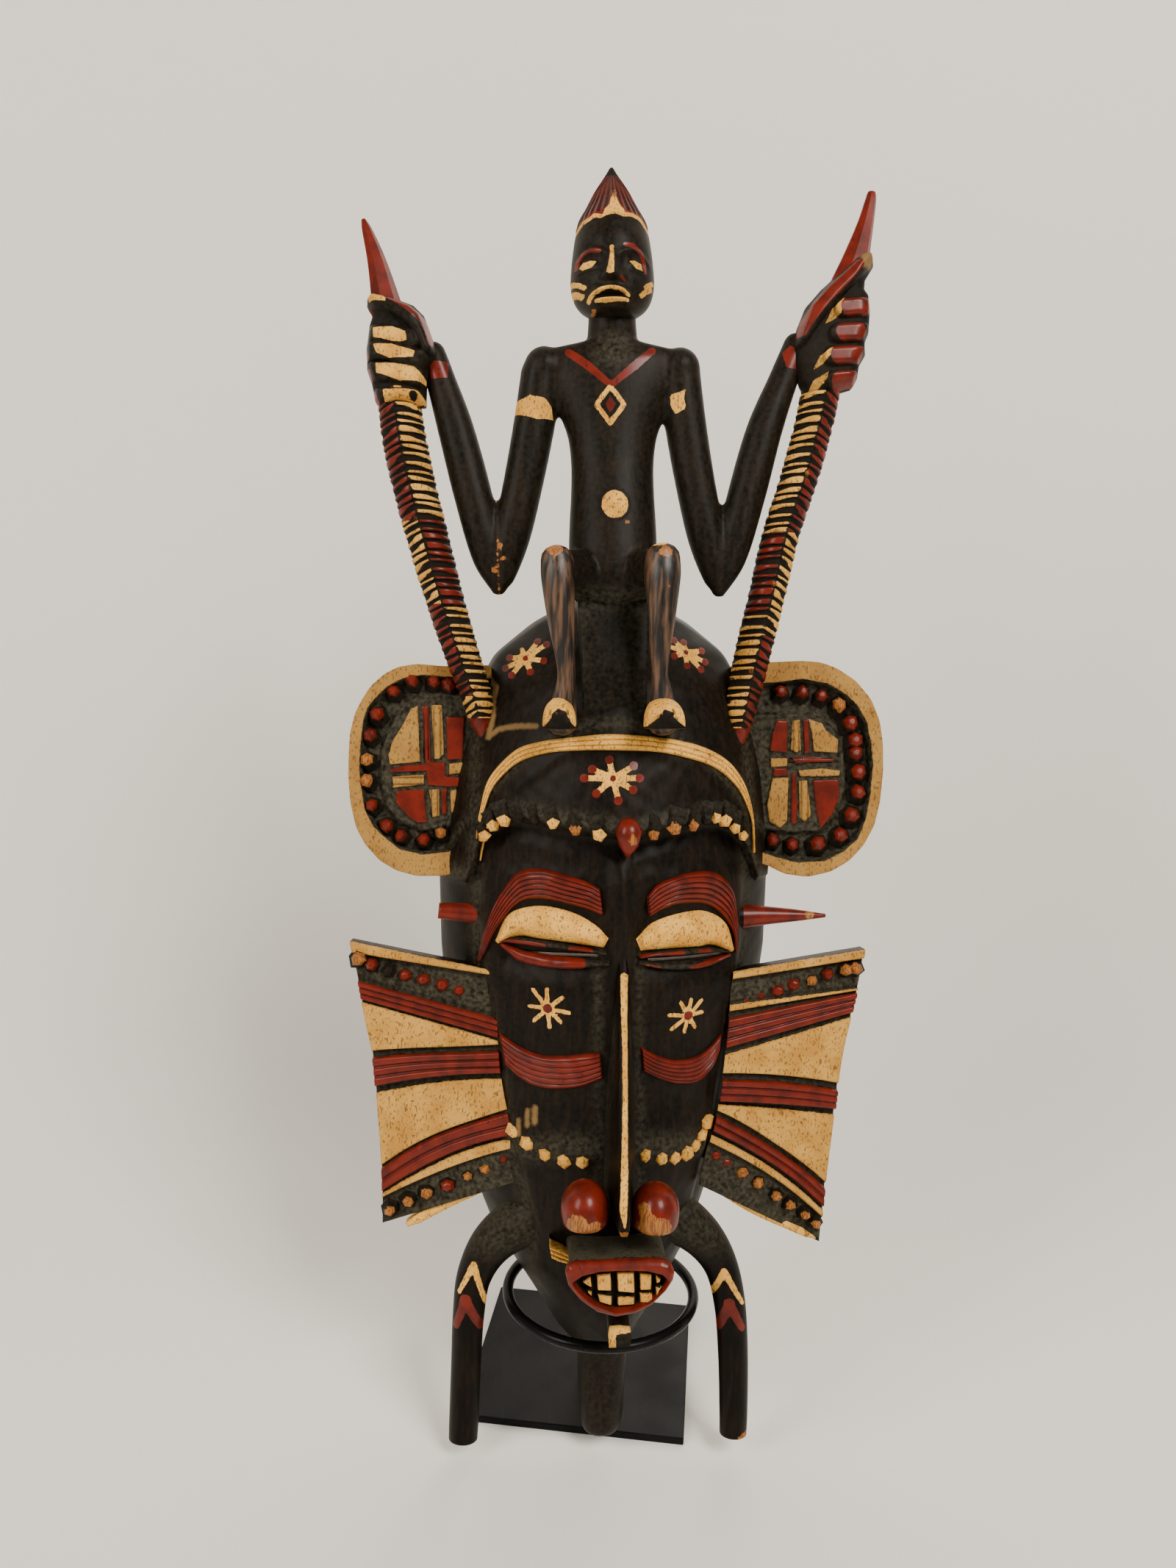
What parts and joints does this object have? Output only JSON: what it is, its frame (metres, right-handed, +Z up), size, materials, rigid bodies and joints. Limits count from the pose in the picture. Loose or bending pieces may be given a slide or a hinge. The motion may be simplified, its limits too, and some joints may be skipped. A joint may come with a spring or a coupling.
{
  "type": "kpeliye mask",
  "caption": "Carved and painted wooden kpeliye mask with a seated figure, ribbed horns, round ears and side fans, its chin held in a black steel ring stand.",
  "frame": {"origin": "centre of the foot plate's underside", "axes": "+Z up, -Y out of the mask's face, +X to the viewer's right"},
  "size_m": [0.2709, 0.1996, 0.64],
  "materials": {
    "carved_wood": "satin",
    "black_steel": "gloss"
  },
  "bodies": {
    "root": {"mask_carving": "carved_wood", "stand_ring": "black_steel", "stand_post": "black_steel", "stand_plate": "black_steel"}
  },
  "joints": []
}
